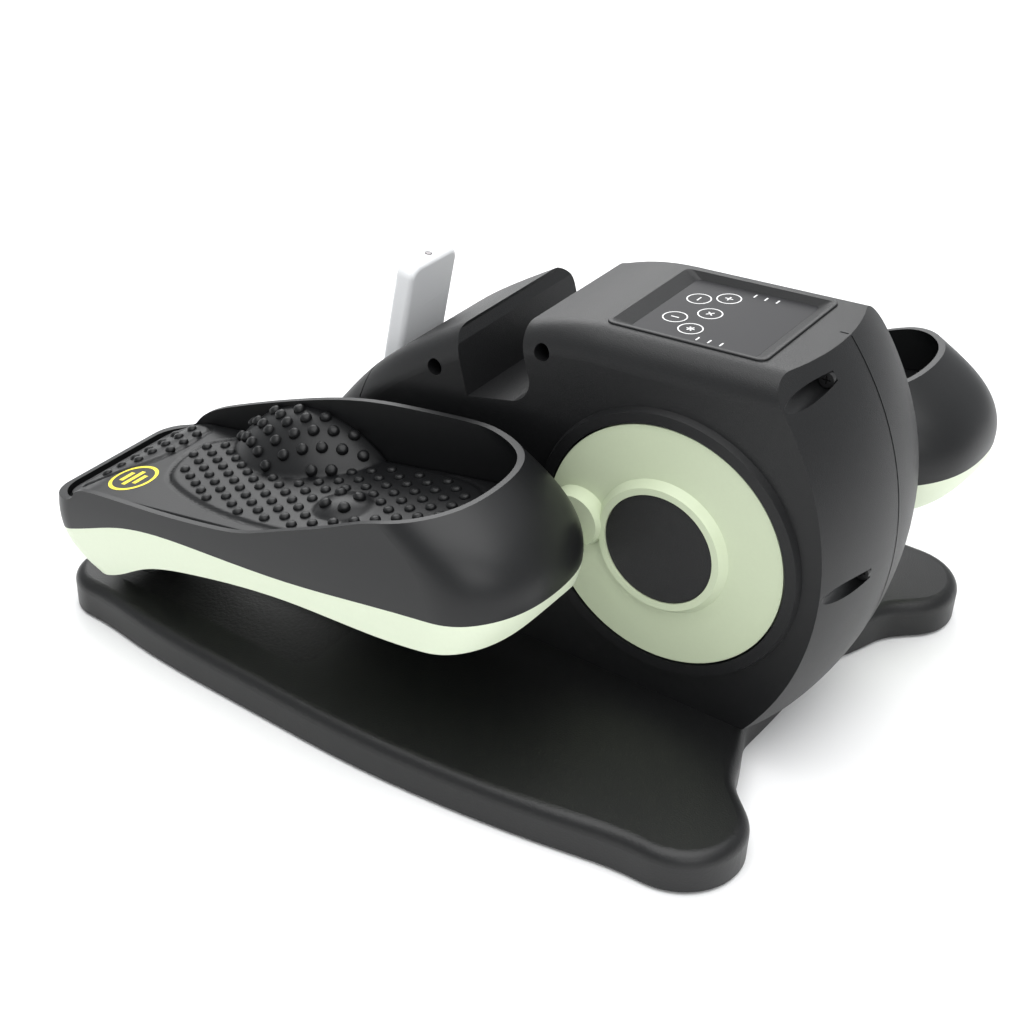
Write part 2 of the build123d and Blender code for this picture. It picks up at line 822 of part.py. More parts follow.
with BuildPart() as tray:
    add(pedal_form(side, 0))
    add(over_all(side, seam_line), mode=Mode.INTERSECT)
    add(space_over(side, outer_rim, middle - 80, middle), mode=Mode.SUBTRACT)
    add(space_over(side, inner_rim, middle, middle + 80), mode=Mode.SUBTRACT)
    add(foot_space(side), mode=Mode.SUBTRACT)
    add(under_space(side), mode=Mode.SUBTRACT)
    add(pedal_cylinder(side, 0, 0, 60, pedal_x, hub_radius + 1), mode=Mode.SUBTRACT)
save_pair("pedal_tray", tray.part)

with BuildPart() as mat:
    add(pedal_form(side, pedal_wall + 1))
    add(over_floor(side, 0), mode=Mode.INTERSECT)
    add(over_floor(side, mat_thickness), mode=Mode.SUBTRACT)
    # mound under the arch of the foot, and a small round one in front of the heel
    with BuildSketch(sole_plane(side, mat_floor + mat_thickness)):
        with Locations((-side * 34, 181)):
            Ellipse(22, 54)
    extrude(amount=14, taper=42)
    with BuildSketch(sole_plane(side, mat_floor + mat_thickness)):
        with Locations((side * 7, 104)):
            Circle(18)
    extrude(amount=5, taper=45)
save_pair("massage_mat", mat.part)

with BuildPart() as lower_shell:
    add(shell_form(side, 0))
    add(shell_form(side, 3), mode=Mode.SUBTRACT)
    add(pedal_cylinder(side, 0, 0, hub_near, hub_far, hub_radius))
    add(pedal_block(side, -3, 3, -26, seam_w - 2, 34))
    add(pedal_block(side, window_from - window_wall, window_to + window_wall, -46, seam_w - 3,
                    window_half + window_wall))
    add(shell_limit(side), mode=Mode.INTERSECT)
    add(pedal_block(side, window_from, window_to, -70, -2, window_half), mode=Mode.SUBTRACT)
    add(pedal_cylinder(side, 0, 0, hub_near - 40, hub_far + 1, bush_radius), mode=Mode.SUBTRACT)
    add(pedal_cylinder(side, roller_u, roller_w, pedal_x - 30, pedal_x + 30, axle_radius), mode=Mode.SUBTRACT)
save_pair("pedal_shell", lower_shell.part)

with BuildPart() as bush:
    for start in (hub_near, hub_far - bush_length):
        with BuildSketch(pedal_side_plane(side, side * start)):
            Circle(bush_radius)
            Circle(pin_radius + fit_gap, mode=Mode.SUBTRACT)
        extrude(amount=side * bush_length)
save_pair("pedal_bushes", bush.part)

with BuildPart() as axle:
    add(pedal_cylinder(side, roller_u, roller_w, pedal_x - window_half - window_wall,
                       pedal_x + window_half + window_wall, axle_radius))
save_pair("roller_axle", axle.part)

with BuildPart() as roller:
    with BuildSketch(pedal_side_plane(side, side * (pedal_x - roller_width / 2))):
        with Locations((roller_u, roller_w)):
            Circle(roller_radius)
    extrude(amount=side * roller_width)
    chamfer(roller.edges(), length=1.5)
    add(pedal_cylinder(side, roller_u, roller_w, pedal_x - 40, pedal_x + 40, axle_radius + fit_gap),
        mode=Mode.SUBTRACT)
    for end in (-1, 1):
        with BuildSketch(pedal_side_plane(side, side * pedal_x + end * roller_width / 2)):
            with Locations((roller_u, roller_w)):
                Circle(roller_radius - 6)
                Circle(axle_radius + 4, mode=Mode.SUBTRACT)
        extrude(amount=-end * 10, mode=Mode.SUBTRACT)
save_pair("toe_roller", roller.part)

# ---------------------------------------------------------------- power inlet and screws

inlet_z = 56.0
inlet_front = 289.0
rocker_x = -12.0
rocker_tilt = 8.0


def front_plane(y):
    """Upright plane that faces the toes: its x runs to the left, its y up from the floor."""
    return Plane(origin=(0, crank_y + y, 0), x_dir=(-1, 0, 0), z_dir=(0, 1, 0))


rocker_pin = 1.5
rocker_pivot = Plane(origin=(rocker_x, crank_y + inlet_front - 5, inlet_z), x_dir=(0, 1, 0), z_dir=(1, 0, 0))

with BuildPart() as power_inlet:
    with BuildSketch(front_plane(inlet_front - 24)):
        with Locations((0, inlet_z)):
            Rectangle(45.8, 25.8)
    extrude(amount=22)
    with BuildSketch(front_plane(inlet_front - 2)):
        with Locations((0, inlet_z)):
            RectangleRounded(50, 30, 2)
    extrude(amount=2)
    with BuildSketch(front_plane(inlet_front)):
        with Locations((-rocker_x, inlet_z)):
            Rectangle(14, 21)
    extrude(amount=-14, mode=Mode.SUBTRACT)
    with BuildSketch(front_plane(inlet_front)):
        with Locations((rocker_x, inlet_z)):
            SlotOverall(18, 10)
    extrude(amount=-14, mode=Mode.SUBTRACT)
    with BuildSketch(front_plane(inlet_front - 14)):
        with Locations((rocker_x - 4, inlet_z), (rocker_x + 4, inlet_z)):
            Circle(1.2)
    extrude(amount=8)
    # bearings for the rocker's pins
    with BuildSketch(rocker_pivot):
        Circle(rocker_pin + fit_gap)
    extrude(amount=8.7, both=True, mode=Mode.SUBTRACT)
save("power_inlet", power_inlet.part)

rocker_plane = Plane(
    origin=(rocker_x, crank_y + inlet_front - 5, inlet_z),
    x_dir=(-1, 0, 0),
    z_dir=(0, math.cos(math.radians(rocker_tilt)), math.sin(math.radians(rocker_tilt))),
)
with BuildPart() as power_switch:
    with BuildSketch(rocker_plane.offset(-4)):
        Rectangle(13, 17)
    extrude(amount=9)
    fillet(power_switch.edges().filter_by(Axis.X), radius=2)
    with BuildSketch(rocker_pivot):
        Circle(rocker_pin)
    extrude(amount=8.5, both=True)
save("power_switch", power_switch.part)

screw_head = 4.6

with BuildPart() as shell_screws:
    with BuildSketch(side_plane(-screw_seat)):
        with Locations(*screw_points):
            Circle(screw_head)
    extrude(amount=-3.2)
    with BuildSketch(side_plane(-screw_seat)):
        with Locations(*screw_points):
            Circle(screw_radius)
    extrude(amount=2 * screw_seat)
    with BuildSketch(side_plane(-screw_seat - 3.2)):
        with Locations(*screw_points):
            Rectangle(5, 1)
            Rectangle(1, 5)
    extrude(amount=1.6, mode=Mode.SUBTRACT)
save("shell_screws", shell_screws.part)

with BuildPart() as base_screws:
    with BuildSketch(top_plane(foot_height + 8)):
        with Locations(*base_screw_points):
            Circle(screw_head)
    extrude(amount=-3.2)
    with BuildSketch(top_plane(foot_height + 8)):
        with Locations(*base_screw_points):
            Circle(2)
    extrude(amount=32)
save("base_screws", base_screws.part)
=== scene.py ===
import json
import math

import bmesh
import bpy
from mathutils import Matrix, Vector
from mathutils.bvhtree import BVHTree


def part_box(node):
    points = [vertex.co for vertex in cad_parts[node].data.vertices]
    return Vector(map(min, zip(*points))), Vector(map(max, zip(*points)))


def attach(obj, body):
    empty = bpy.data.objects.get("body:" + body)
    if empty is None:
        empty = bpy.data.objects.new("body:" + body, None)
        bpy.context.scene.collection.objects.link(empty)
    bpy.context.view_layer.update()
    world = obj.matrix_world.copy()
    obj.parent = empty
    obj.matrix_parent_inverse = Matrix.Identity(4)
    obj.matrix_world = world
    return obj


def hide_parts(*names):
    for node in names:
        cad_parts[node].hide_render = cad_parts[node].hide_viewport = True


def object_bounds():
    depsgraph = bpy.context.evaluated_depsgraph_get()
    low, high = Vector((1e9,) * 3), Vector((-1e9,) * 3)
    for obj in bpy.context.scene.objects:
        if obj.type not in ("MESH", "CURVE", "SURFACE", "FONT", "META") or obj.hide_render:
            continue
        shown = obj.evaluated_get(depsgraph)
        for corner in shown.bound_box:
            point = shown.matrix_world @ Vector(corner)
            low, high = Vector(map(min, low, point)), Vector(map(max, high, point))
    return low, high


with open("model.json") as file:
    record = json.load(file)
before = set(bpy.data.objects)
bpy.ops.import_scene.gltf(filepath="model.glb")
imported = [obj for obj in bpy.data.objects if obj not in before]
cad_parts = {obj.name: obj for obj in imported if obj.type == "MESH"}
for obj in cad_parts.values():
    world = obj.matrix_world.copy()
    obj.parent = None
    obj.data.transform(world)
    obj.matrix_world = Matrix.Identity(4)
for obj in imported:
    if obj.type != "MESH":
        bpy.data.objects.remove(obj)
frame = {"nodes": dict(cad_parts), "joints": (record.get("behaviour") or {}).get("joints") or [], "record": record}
cad_box = [list(corner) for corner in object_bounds()]

# ------------------------------------------------------------------ places, taken from the frame
MM = 0.001
JOINTS = {joint["name"]: joint for joint in frame["joints"]}
CRANK = Vector(JOINTS["crank_turn"]["pos_m"])
PEDAL_TILT = math.radians(10)
SIDES = ((-1, "left"), (1, "right"))
# height of the tracks' floors
TRACK_FLOOR = 0.020


def pedal_point(side, u, v, w):
    """Point on a pedal, in metres. In mm, u is towards the toes, v away from the body, w up from the sole."""
    word = dict(SIDES)[side]
    pin = Vector(JOINTS[f"{word}_pedal_swing"]["pos_m"])
    forward = Vector((0, math.cos(PEDAL_TILT), -math.sin(PEDAL_TILT)))
    upward = Vector((0, math.sin(PEDAL_TILT), math.cos(PEDAL_TILT)))
    return pin + (Vector((side * v, 0, 0)) + forward * u + upward * w) * MM


# ------------------------------------------------------------------ camera, light and floor
CAMERA_AZIMUTH, CAMERA_HEIGHT = math.radians(-52.3), math.radians(33.5)
CAMERA_PLACE = Vector((-0.8233, -0.3791 + CRANK.y, 0.6902))
LENS, SHIFT_X, SHIFT_Y = 59.65, 0.1222, 0.0257
FLOOR_HALF = 4.0
WORLD_COLOR, WORLD_STRENGTH = (0.96, 0.98, 1, 1), 0.6


def place_camera():
    """Camera at the reference viewing angle, from the user's left, behind and above."""
    azimuth, level = CAMERA_AZIMUTH, math.cos(CAMERA_HEIGHT)
    back = Vector((math.sin(azimuth) * level, -math.cos(azimuth) * level, math.sin(CAMERA_HEIGHT)))
    right = Vector((math.cos(azimuth), math.sin(azimuth), 0))
    up = back.cross(right)
    data = bpy.data.cameras.new("camera")
    data.sensor_width = 36
    data.lens = LENS
    data.shift_x = SHIFT_X
    data.shift_y = SHIFT_Y
    camera = bpy.data.objects.new("camera", data)
    turn = Matrix((right, up, back)).transposed().to_4x4()
    camera.matrix_world = Matrix.Translation(CAMERA_PLACE) @ turn
    bpy.context.collection.objects.link(camera)
    bpy.context.scene.camera = camera


def area_light(name, place, target, size, power):
    """Soft rectangular lamp aimed at a point."""
    data = bpy.data.lights.new(name, "AREA")
    data.shape = "RECTANGLE"
    data.size, data.size_y = size
    data.energy = power
    lamp = bpy.data.objects.new(name, data)
    lamp.location = place
    lamp.rotation_euler = (Vector(place) - Vector(target)).to_track_quat("Z", "Y").to_euler()
    bpy.context.collection.objects.link(lamp)


def place_stage():
    """Pale floor and soft studio light: broad lamps overhead, behind the object and on the user's side."""
    world = bpy.data.worlds.new("studio")
    world.use_nodes = True
    background = world.node_tree.nodes["Background"]
    background.inputs["Color"].default_value = WORLD_COLOR
    background.inputs["Strength"].default_value = WORLD_STRENGTH
    bpy.context.scene.world = world
    bpy.context.scene.view_settings.view_transform = "Standard"
    mesh = bpy.data.meshes.new("floor")
    corners = [(x * FLOOR_HALF, y * FLOOR_HALF, 0) for x, y in ((-1, -1), (1, -1), (1, 1), (-1, 1))]
    mesh.from_pydata(corners, [], [(0, 1, 2, 3)])
    floor = bpy.data.objects.new("floor", mesh)
    bpy.context.collection.objects.link(floor)
    floor_material = bpy.data.materials.new("floor")
    floor_material.use_nodes = True
    shader = floor_material.node_tree.nodes["Principled BSDF"]
    shader.inputs["Base Color"].default_value = (0.93, 0.93, 0.93, 1)
    shader.inputs["Roughness"].default_value = 0.8
    shader.inputs["Specular IOR Level"].default_value = 0.2
    mesh.materials.append(floor_material)
    area_light("overhead", (-0.2, -0.2, 2.2), (0, 0, 0), (2.6, 2.6), 60)
    area_light("behind", (1.5, 1.25, 1.25), (0, 0, 0.15), (1.8, 1.2), 26)
    area_light("user_side", (-1.3, -1.6, 1.3), (0, 0, 0.1), (1.2, 1.0), 10)


# ------------------------------------------------------------------ materials
def link(tree, out_node, out_name, in_node, in_name):
    tree.links.new(out_node.outputs[out_name], in_node.inputs[in_name])


def plastic(name, color, roughness, grain, depth, spread=0.05, mottling=0.15, specular=0.5, coat=0.0):
    """Moulded plastic: fine grain in the surface, and a little change of tone and gloss over it."""
    material = bpy.data.materials.new(name)
    material.use_nodes = True
    tree = material.node_tree
    shader = tree.nodes["Principled BSDF"]
    shader.inputs["Specular IOR Level"].default_value = specular
    shader.inputs["Coat Weight"].default_value = coat
    shader.inputs["Coat Roughness"].default_value = 0.15
    place = tree.nodes.new("ShaderNodeTexCoord")
    fine = tree.nodes.new("ShaderNodeTexNoise")
    fine.inputs["Scale"].default_value = grain
    fine.inputs["Detail"].default_value = 2
    link(tree, place, "Object", fine, "Vector")
    broad = tree.nodes.new("ShaderNodeTexNoise")
    broad.inputs["Scale"].default_value = 9
    broad.inputs["Detail"].default_value = 3
    link(tree, place, "Object", broad, "Vector")
    gloss = tree.nodes.new("ShaderNodeMapRange")
    gloss.inputs["To Min"].default_value = roughness - spread
    gloss.inputs["To Max"].default_value = roughness + spread
    link(tree, broad, "Fac", gloss, "Value")
    link(tree, gloss, "Result", shader, "Roughness")
    tone = tree.nodes.new("ShaderNodeMix")
    tone.data_type = "RGBA"
    # the Mix node's colours are its inputs 6 and 7, and its output 2
    tone.inputs[6].default_value = (*[c * (1 - mottling) for c in color], 1)
    tone.inputs[7].default_value = (*[min(1, c * (1 + mottling)) for c in color], 1)
    tree.links.new(fine.outputs["Fac"], tone.inputs[0])
    tree.links.new(tone.outputs[2], shader.inputs["Base Color"])
    bump = tree.nodes.new("ShaderNodeBump")
    bump.inputs["Strength"].default_value = depth
    bump.inputs["Distance"].default_value = 0.0004
    link(tree, fine, "Fac", bump, "Height")
    link(tree, bump, "Normal", shader, "Normal")
    return material


def metal(name, color, roughness, grain):
    """Machined or plated metal with a fine grain."""
    material = plastic(name, color, roughness, grain, 0.15, 0.08, 0.1)
    material.node_tree.nodes["Principled BSDF"].inputs["Metallic"].default_value = 1
    return material


materials = {
    "black_base": plastic("black_base", (0.0035, 0.0037, 0.004), 0.42, 900, 0.4, 0.05, 0.3, 0.45),
    "track": plastic("track", (0.009, 0.0092, 0.0096), 0.62, 420, 1.0, 0.05, 0.6),
    "black_shell": plastic("black_shell", (0.0045, 0.0047, 0.0052), 0.46, 1500, 0.4, 0.05, 0.3, 0.42),
    "black_cap": plastic("black_cap", (0.010, 0.010, 0.0105), 0.6, 1100, 0.8, 0.05, 0.5),
    "black_tray": plastic("black_tray", (0.006, 0.0063, 0.0068), 0.4, 700, 0.05, 0.04, 0.1, 0.4),
    "green_disc": plastic("green_disc", (0.54, 0.61, 0.43), 0.36, 500, 0.05, 0.04, 0.02),
    "green_shell": plastic("green_shell", (0.68, 0.75, 0.58), 0.33, 500, 0.04, 0.04, 0.02),
    "massage_mat": plastic("massage_mat", (0.005, 0.0052, 0.0057), 0.4, 900, 0.1, 0.05, 0.15, 0.3),
    # painted shade: a near-black colour for the screws, standing in for the shadow down the holes they sit in
    "screw_hole_painted_shade": plastic("screw_hole_painted_shade", (0.01, 0.01, 0.0105), 0.5, 600, 0.2),
    # painted shade: a near-black colour laid on the seam line, standing in for the shadow inside the groove
    # between the body's halves
    "seam_painted_shade": plastic("seam_painted_shade", (0.0015, 0.0015, 0.0015), 0.9, 600, 0.02, 0.05, 0.1, 0.1),
    "rubber": plastic("rubber", (0.012, 0.012, 0.012), 0.75, 600, 0.4),
    "roller": plastic("roller", (0.03, 0.03, 0.03), 0.6, 600, 0.3),
    "bush": plastic("bush", (0.7, 0.7, 0.65), 0.4, 500, 0.05),
    "panel": plastic("panel", (0.025, 0.025, 0.027), 0.5, 700, 0.02, 0.03, 0.05, 0.15),
    "white_remote": plastic("white_remote", (0.8, 0.81, 0.82), 0.42, 1200, 0.12, 0.05, 0.02),
    "grey_key": plastic("grey_key", (0.3, 0.31, 0.33), 0.55, 600, 0.1),
    "ir_window": plastic("ir_window", (0.03, 0.012, 0.02), 0.1, 300, 0.02, 0.02, 0.1, coat=0.8),
    "painted_steel": plastic("painted_steel", (0.06, 0.06, 0.065), 0.5, 400, 0.3),
    "circuit_board": plastic("circuit_board", (0.02, 0.12, 0.05), 0.35, 300, 0.1),
    "white_print": plastic("white_print", (0.75, 0.75, 0.75), 0.5, 600, 0.02),
    "yellow_print": plastic("yellow_print", (0.9, 0.72, 0.03), 0.5, 600, 0.02),
    "steel": metal("steel", (0.6, 0.61, 0.63), 0.32, 800),
    "motor_can": metal("motor_can", (0.42, 0.43, 0.45), 0.4, 500),
}


def dress_cad_nodes():
    """Gives every CAD node the material of its slot, the screws a near-black colour of painted shade for their
    holes, and the track floors their own.
    """
    slots = {part["node"]: part["material_slot"] for part in frame["record"]["subparts"]}
    for node, obj in frame["nodes"].items():
        obj.data.materials.clear()
        obj.data.materials.append(materials[slots[node]])
    # the screws are darkened as painted shade for the holes they sit in
    frame["nodes"]["shell_screws"].data.materials[0] = materials["screw_hole_painted_shade"]
    base = frame["nodes"]["base_plate"].data
    base.materials.append(materials["track"])
    for face in base.polygons:
        top = max(base.vertices[index].co.z for index in face.vertices)
        if face.normal.z > 0.9 and abs(top - TRACK_FLOOR) < 0.0005:
            face.material_index = 1


# ------------------------------------------------------------------ mesh helpers
def new_piece(name, points, faces, material, body, smooth=True):
    """Mesh object that rides on a body and takes the material of the given name."""
    mesh = bpy.data.meshes.new(name)
    mesh.from_pydata([tuple(point) for point in points], [], faces)
    mesh.materials.append(materials[material])
    work = bmesh.new()
    work.from_mesh(mesh)
    bmesh.ops.recalc_face_normals(work, faces=work.faces)
    work.to_mesh(mesh)
    work.free()
    piece = bpy.data.objects.new(name, mesh)
    bpy.context.collection.objects.link(piece)
    if smooth:
        mesh.shade_smooth()
    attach(piece, body)
    return piece


def smooth_step(low, high, value):
    """0 below low, 1 above high, an even curve between."""
    share = min(1, max(0, (value - low) / (high - low)))
    return share * share * (3 - 2 * share)


def inside(outline, u, v):
    """Whether (u, v) lies inside a closed outline."""
    found = False
    for (u1, v1), (u2, v2) in zip(outline, outline[1:] + outline[:1]):
        if (v1 > v) != (v2 > v) and u < (u2 - u1) * (v - v1) / (v2 - v1) + u1:
            found = not found
    return found


def distance_to(outline, u, v):
    """Distance from (u, v) to a closed outline."""
    least = 1e9
    for (u1, v1), (u2, v2) in zip(outline, outline[1:] + outline[:1]):
        du, dv = u2 - u1, v2 - v1
        share = min(1, max(0, ((u - u1) * du + (v - v1) * dv) / (du * du + dv * dv)))
        least = min(least, math.hypot(u - u1 - share * du, v - v1 - share * dv))
    return least


def rounded(outline, steps=6):
    """Closed outline with a smooth Catmull-Rom curve through its points."""
    count = len(outline)
    curve = []
    for i in range(count):
        p0, p1, p2, p3 = (outline[(i + k) % count] for k in (-1, 0, 1, 2))
        for step in range(steps):
            t = step / steps
            spot = []
            for a, b, c, d in zip(p0, p1, p2, p3):
                bend = (2 * a - 5 * b + 4 * c - d) * t**2
                twist = (3 * b - a - 3 * c + d) * t**3
                spot.append(0.5 * (2 * b + (c - a) * t + bend + twist))
            curve.append(tuple(spot))
    return curve


# ------------------------------------------------------------------ massage mats
MAT_TOP = 20.0
MAT_BACK, MAT_FRONT, MAT_HALF = -36.0, 308.5, 56.8
HEEL_DEPTH, TOE_CORNER = 40.0, 18.0
# outlines drawn on the mat as (u, v): the footprint, and the band that crosses under the toes
FOOTPRINT = rounded([
    (258, -20), (252, 5), (237, 23), (200, 38), (160, 46), (120, 47),
    (80, 43), (45, 32), (22, 12), (17, -12), (26, -34), (44, -49),
    (75, -55), (120, -56), (170, -56), (215, -55), (241, -45), (254, -33),
])
TOE_BAND = rounded([
    (270, -50), (268, -32), (269, -10), (276, 14), (290, 34), (300, 44),
    (304, 38), (304, 10), (304, -20), (301, -42), (290, -53), (278, -54),
])
ARCH_U, ARCH_V, ARCH_LONG, ARCH_WIDE, ARCH_HIGH = 181.0, -60.0, 60.0, 50.0, 28.0
BUTTON_U, BUTTON_V, BUTTON_RADIUS, BUTTON_HIGH = 104.0, 7.0, 19.0, 6.0
BADGE_U, BADGE_V, BADGE_RADIUS = 266.0, 29.0, 18.0
BADGE_STROKE, BADGE_SQUASH, BADGE_RISE = 2.7, 0.86, 0.12
# the badge's bars as (place along u, half length)
BADGE_BARS = ((-7.0, 6.0), (0.0, 10.0), (7.0, 6.0))
BADGE_BAR_HALF = 1.7
# the nubs' staggered rows: the first row's place, the pitch, and the rows' spacing as a share of it
NUB_START, NUB_PITCH, NUB_ROW_SHARE = 8.0, 13.0, 0.85
NUB_MARGIN, ARCH_NUB_MARGIN, ARCH_NUB_LEAST_RISE = 4.4, 3.5, 1.5
BUTTON_NUB_RING = 10.5
# radius and height of the nubs on the flat pads, the arch mound and the button
PAD_NUB, ARCH_NUB, BUTTON_NUB = (3.4, 2.3), (3.9, 3.4), (3.9, 3.3)
GROOVE, PAD_RISE = 1.1, 0.7
SHEET_THICK = 4.2
HEEL_ROWS, MIDDLE_ROWS, TOE_ROWS, MAT_COLUMNS = 22, 170, 14, 72


def mat_half_width(u):
    """Half the mat's width at u: round heel, straight sides, rounded toe corners."""
    if u < MAT_BACK + HEEL_DEPTH:
        share = 1 - (u - MAT_BACK) / HEEL_DEPTH
        return MAT_HALF * math.sqrt(max(0, 1 - share * share))
    if u > MAT_FRONT - TOE_CORNER:
        along = u - (MAT_FRONT - TOE_CORNER)
        return MAT_HALF - TOE_CORNER + math.sqrt(max(0, TOE_CORNER**2 - along**2))
    return MAT_HALF


def mat_base(u):
    """Height of the plain mat, which bends down under the tips of the toes."""
    return MAT_TOP - 9.0 * max(0, u - 276) / 40 * smooth_step(272, 300, u)


def arch_rise(u, v):
    """Height of the mound under the foot's arch, above the plain mat."""
    reach = ((u - ARCH_U) / ARCH_LONG) ** 2 + ((v - ARCH_V) / ARCH_WIDE) ** 2
    return ARCH_HIGH * (1 - reach) ** 0.85 if reach < 1 else 0


def button_rise(u, v):
    """Height of the round button under the heel, above the plain mat."""
    reach = math.hypot(u - BUTTON_U, v - BUTTON_V) / BUTTON_RADIUS
    return BUTTON_HIGH * (1 - reach * reach) ** 0.7 if reach < 1 else 0


def mat_height(u, v):
    """Height of the mat's surface: plain sheet, grooves round the raised pads, arch mound and button."""
    height = mat_base(u)
    rise = max(arch_rise(u, v), button_rise(u, v))
    if rise > 0.5:
        return height + rise
    for outline in (FOOTPRINT, TOE_BAND):
        gap = distance_to(outline, u, v)
        height -= GROOVE * (1 - smooth_step(0.3, 1.5, gap))
        if inside(outline, u, v):
            height += PAD_RISE * smooth_step(0.6, 2.4, gap)
    return height + rise


def mat_surface(side):
    """Closed sheet: a grid of the top, its skirt, and the underside."""
    quarter = math.pi / 2
    rows = [MAT_BACK + HEEL_DEPTH * (1 - math.cos(quarter * i / HEEL_ROWS)) for i in range(HEEL_ROWS)]
    start, end = MAT_BACK + HEEL_DEPTH, MAT_FRONT - TOE_CORNER
    rows += [start + (end - start) * i / MIDDLE_ROWS for i in range(MIDDLE_ROWS)]
    rows += [end + TOE_CORNER * math.sin(quarter * i / TOE_ROWS) for i in range(TOE_ROWS + 1)]
    across = MAT_COLUMNS
    points, faces = [], []
    for u in rows:
        half = max(mat_half_width(u), 0.5)
        for j in range(across + 1):
            v = half * (2 * j / across - 1)
            points.append(pedal_point(side, u, v, mat_height(u, v)))
    width = across + 1
    for i in range(len(rows) - 1):
        for j in range(across):
            a = i * width + j
            faces.append((a, a + 1, a + 1 + width, a + width))
    rim = [i * width for i in range(len(rows))]
    rim += [(len(rows) - 1) * width + j for j in range(1, across + 1)]
    rim += [i * width + across for i in range(len(rows) - 2, -1, -1)]
    rim += [j for j in range(across - 1, 0, -1)]
    low = []
    for index in rim:
        i, j = divmod(index, width)
        half = max(mat_half_width(rows[i]), 0.5)
        low.append(len(points))
        v = half * (2 * j / across - 1)
        points.append(pedal_point(side, rows[i], v, mat_base(rows[i]) - SHEET_THICK))
    count = len(rim)
    for k in range(count):
        after = (k + 1) % count
        faces.append((rim[k], rim[after], low[after], low[k]))
    faces.append(tuple(reversed(low)))
    return points, faces


def nub(side, u, v, radius, high, points, faces):
    """One domed nub standing on the mat, set square to its slope."""
    slope_u = (mat_height(u + 1.5, v) - mat_height(u - 1.5, v)) / 3
    slope_v = (mat_height(u, v + 1.5) - mat_height(u, v - 1.5)) / 3
    out = Vector((-slope_u, -slope_v, 1)).normalized()
    along = Vector((1, 0, slope_u)).normalized()
    beside = out.cross(along)
    centre = Vector((u, v, mat_height(u, v)))
    # the dome's rings as (share of its radius, share of its height)
    rings = ((1.12, -0.35), (1.0, 0.25), (0.92, 0.6), (0.7, 0.86), (0.38, 0.98))
    sides = 12
    first = len(points)
    for share, up in rings:
        for k in range(sides):
            turn = 2 * math.pi * k / sides
            round_about = along * math.cos(turn) + beside * math.sin(turn)
            spot = centre + round_about * radius * share + out * high * up
            points.append(pedal_point(side, *spot))
    points.append(pedal_point(side, *(centre + out * high)))
    for ring in range(len(rings) - 1):
        for k in range(sides):
            a, b = first + ring * sides + k, first + ring * sides + (k + 1) % sides
            faces.append((a, b, b + sides, a + sides))
    top = first + (len(rings) - 1) * sides
    for k in range(sides):
        faces.append((top + k, top + (k + 1) % sides, first + len(rings) * sides))
    faces.append(tuple(first + k for k in reversed(range(sides))))


def on_pad(outline, u, v):
    """Whether a nub at (u, v) stands clear of a raised pad's outline, on the pad."""
    return inside(outline, u, v) and distance_to(outline, u, v) > NUB_MARGIN


def nub_places():
    """Staggered places of the nubs: small ones on the flat pads, larger ones on the mounds."""
    places = []
    for i in range(-4, 30):
        for j in range(-5, 6):
            u = NUB_START + NUB_PITCH * NUB_ROW_SHARE * i
            v = NUB_PITCH * (j + 0.5 * (i % 2))
            if arch_rise(u, v) > ARCH_NUB_LEAST_RISE and abs(v) < MAT_HALF - ARCH_NUB_MARGIN:
                places.append((u, v, *ARCH_NUB))
            elif arch_rise(u, v) > 0 or button_rise(u, v) > 0:
                continue
            elif on_pad(FOOTPRINT, u, v) or on_pad(TOE_BAND, u, v):
                places.append((u, v, *PAD_NUB))
    for k in range(4):
        turn = math.radians(45 + 90 * k)
        u = BUTTON_U + BUTTON_NUB_RING * math.cos(turn)
        v = BUTTON_V + BUTTON_NUB_RING * math.sin(turn)
        places.append((u, v, *BUTTON_NUB))
    return places


def make_mat(side, word):
    """Massage mat with its nubs, in place of the plain CAD one."""
    points, faces = mat_surface(side)
    for u, v, radius, high in nub_places():
        nub(side, u, v, radius, high, points, faces)
    mat = new_piece(f"{word}_nubbed_mat", points, faces, "massage_mat", f"{word}_pedal")
    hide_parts(f"{word}_massage_mat")


def make_badge(side, word):
    """Generic round mark printed on the mat: a ring with three bars."""
    points, faces = [], []
    count = 64

    def print_point(along, beside):
        """Point of the mark, just above the mat."""
        u = BADGE_U + along
        points.append(pedal_point(side, u, BADGE_V + beside, mat_base(u) + BADGE_RISE))

    for k in range(count):
        turn = 2 * math.pi * k / count
        for radius in (BADGE_RADIUS - BADGE_STROKE, BADGE_RADIUS):
            print_point(radius * BADGE_SQUASH * math.cos(turn), radius * math.sin(turn))
    for k in range(count):
        a, b = 2 * k, 2 * ((k + 1) % count)
        faces.append((a, a + 1, b + 1, b))
    for offset, length in BADGE_BARS:
        first = len(points)
        for across, way in ((-1, -1), (1, -1), (1, 1), (-1, 1)):
            print_point(offset * BADGE_SQUASH + across * BADGE_BAR_HALF, way * length)
        faces.append(tuple(range(first, first + 4)))
    body = f"{word}_pedal"
    new_piece(f"{word}_mat_mark", points, faces, "yellow_print", body, smooth=False)


# ------------------------------------------------------------------ console print
PANEL_LOW, PANEL_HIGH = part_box("console_panel")
TOP_SLOPE = math.radians(3.4)
# places on the panel in mm from its middle
RING_PLACES = [(14.5, 25.2), (23.7, 10.3), (-1.1, 9.4), (-15.4, 24.5), (-25.3, 8.9)]
RING_RADIUS, RING_STROKE = 7.5, 0.8
# half the length and half the width of the signs' bars and of the ticks
SIGN_BAR, TICK_BAR = (2.6, 0.45), (2.2, 0.5)
PRINT_RISE = 0.08
TICK_PLACES = [(35, -1), (34, -8.5), (34, -16), (-35, -1), (-35, -8.5), (-35, -16)]


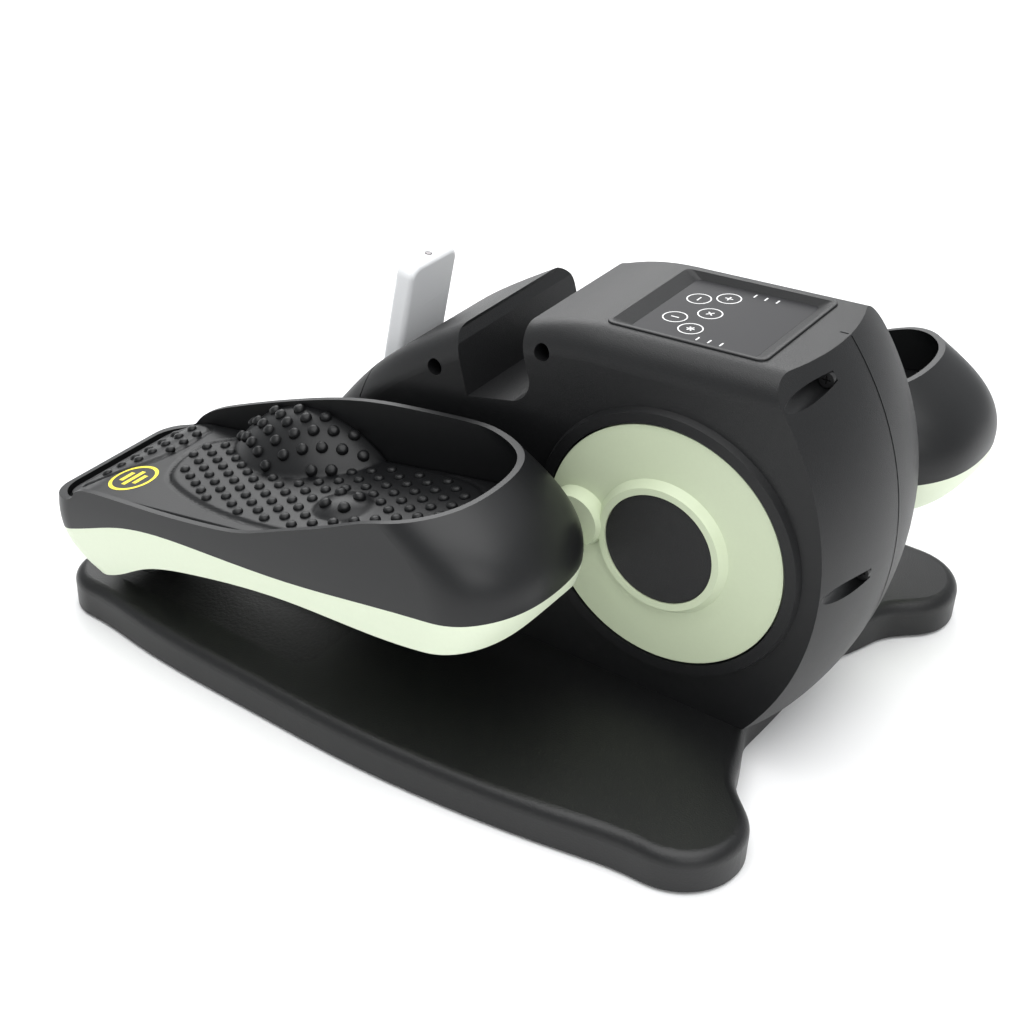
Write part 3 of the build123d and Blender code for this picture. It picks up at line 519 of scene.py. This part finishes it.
def panel_point(x, y):
    """Point just above the touch panel, x and y in mm from its middle."""
    middle = (PANEL_LOW + PANEL_HIGH) / 2
    along = middle.y + y * MM
    high = PANEL_HIGH.z - (along - PANEL_LOW.y) * math.tan(TOP_SLOPE)
    return Vector((middle.x + x * MM, along, high + PRINT_RISE * MM))


def bar(points, faces, x, y, half_long, half_wide, turn):
    """Flat bar on the panel."""
    first = len(points)
    for a, b in ((-1, -1), (1, -1), (1, 1), (-1, 1)):
        dx = a * half_long * math.cos(turn) - b * half_wide * math.sin(turn)
        dy = a * half_long * math.sin(turn) + b * half_wide * math.cos(turn)
        points.append(panel_point(x + dx, y + dy))
    faces.append(tuple(range(first, first + 4)))


def make_console_print():
    """Five key rings with plain signs, and two rows of tick marks."""
    points, faces = [], []
    count = 48
    for x, y in RING_PLACES:
        first = len(points)
        for k in range(count):
            turn = 2 * math.pi * k / count
            for radius in (RING_RADIUS - RING_STROKE, RING_RADIUS):
                points.append(panel_point(x + radius * math.cos(turn), y + radius * math.sin(turn)))
        for k in range(count):
            a, b = first + 2 * k, first + 2 * ((k + 1) % count)
            faces.append((a, a + 1, b + 1, b))
    # each key's sign, as the directions of its bars in degrees
    signs = [[0], [0, 90], [45, 135], [90], [30, 90, 150]]
    for (x, y), turns in zip(RING_PLACES, signs):
        for turn in turns:
            bar(points, faces, x, y, *SIGN_BAR, math.radians(turn))
    for x, y in TICK_PLACES:
        bar(points, faces, x, y, *TICK_BAR, 0)
    new_piece("console_print", points, faces, "white_print", "root", smooth=False)


# ------------------------------------------------------------------ painted shade along the body's seam
SEAM_X, SEAM_HALF, SEAM_RISE = 10.5, 0.45, 0.12
# the seam is found by rays towards the crank, from above the console's back edge to low on the back, in degrees
SEAM_START, SEAM_END, SEAM_STEPS = 66, -42, 120
RAY_LENGTH = 0.5


def skin_of(nodes):
    """Search tree of the outside of some CAD nodes."""
    work = bmesh.new()
    for node in nodes:
        work.from_mesh(frame["nodes"][node].data)
    tree = BVHTree.FromBMesh(work)
    work.free()
    return tree


def make_painted_seam_shade():
    """Thin dark ribbon of painted shade where the two halves of the body meet, standing in for the shadow in the
    groove between them, from behind the console down the back.
    """
    skin = skin_of(["left_shell", "right_shell", "front_cover"])
    middle = Vector((SEAM_X * MM, CRANK.y, CRANK.z))
    half = Vector((SEAM_HALF * MM, 0, 0))
    points, faces = [], []
    for k in range(SEAM_STEPS + 1):
        turn = math.radians(SEAM_START + (SEAM_END - SEAM_START) * k / SEAM_STEPS)
        way = Vector((0, math.cos(turn), -math.sin(turn)))
        spot, normal = skin.ray_cast(middle - way * RAY_LENGTH, way)[:2]
        if spot is None:
            continue
        if normal.dot(way) > 0:
            normal = -normal
        spot = spot + normal * SEAM_RISE * MM
        spot.z = min(spot.z, cad_box[1][2])
        points += [spot + half, spot - half]
    for k in range(0, len(points) - 2, 2):
        faces.append((k, k + 1, k + 3, k + 2))
    new_piece("body_back_seam_shade", points, faces, "seam_painted_shade", "root", smooth=False)


place_camera()
place_stage()
dress_cad_nodes()
make_painted_seam_shade()
for side, word in SIDES:
    make_mat(side, word)
    make_badge(side, word)
make_console_print()
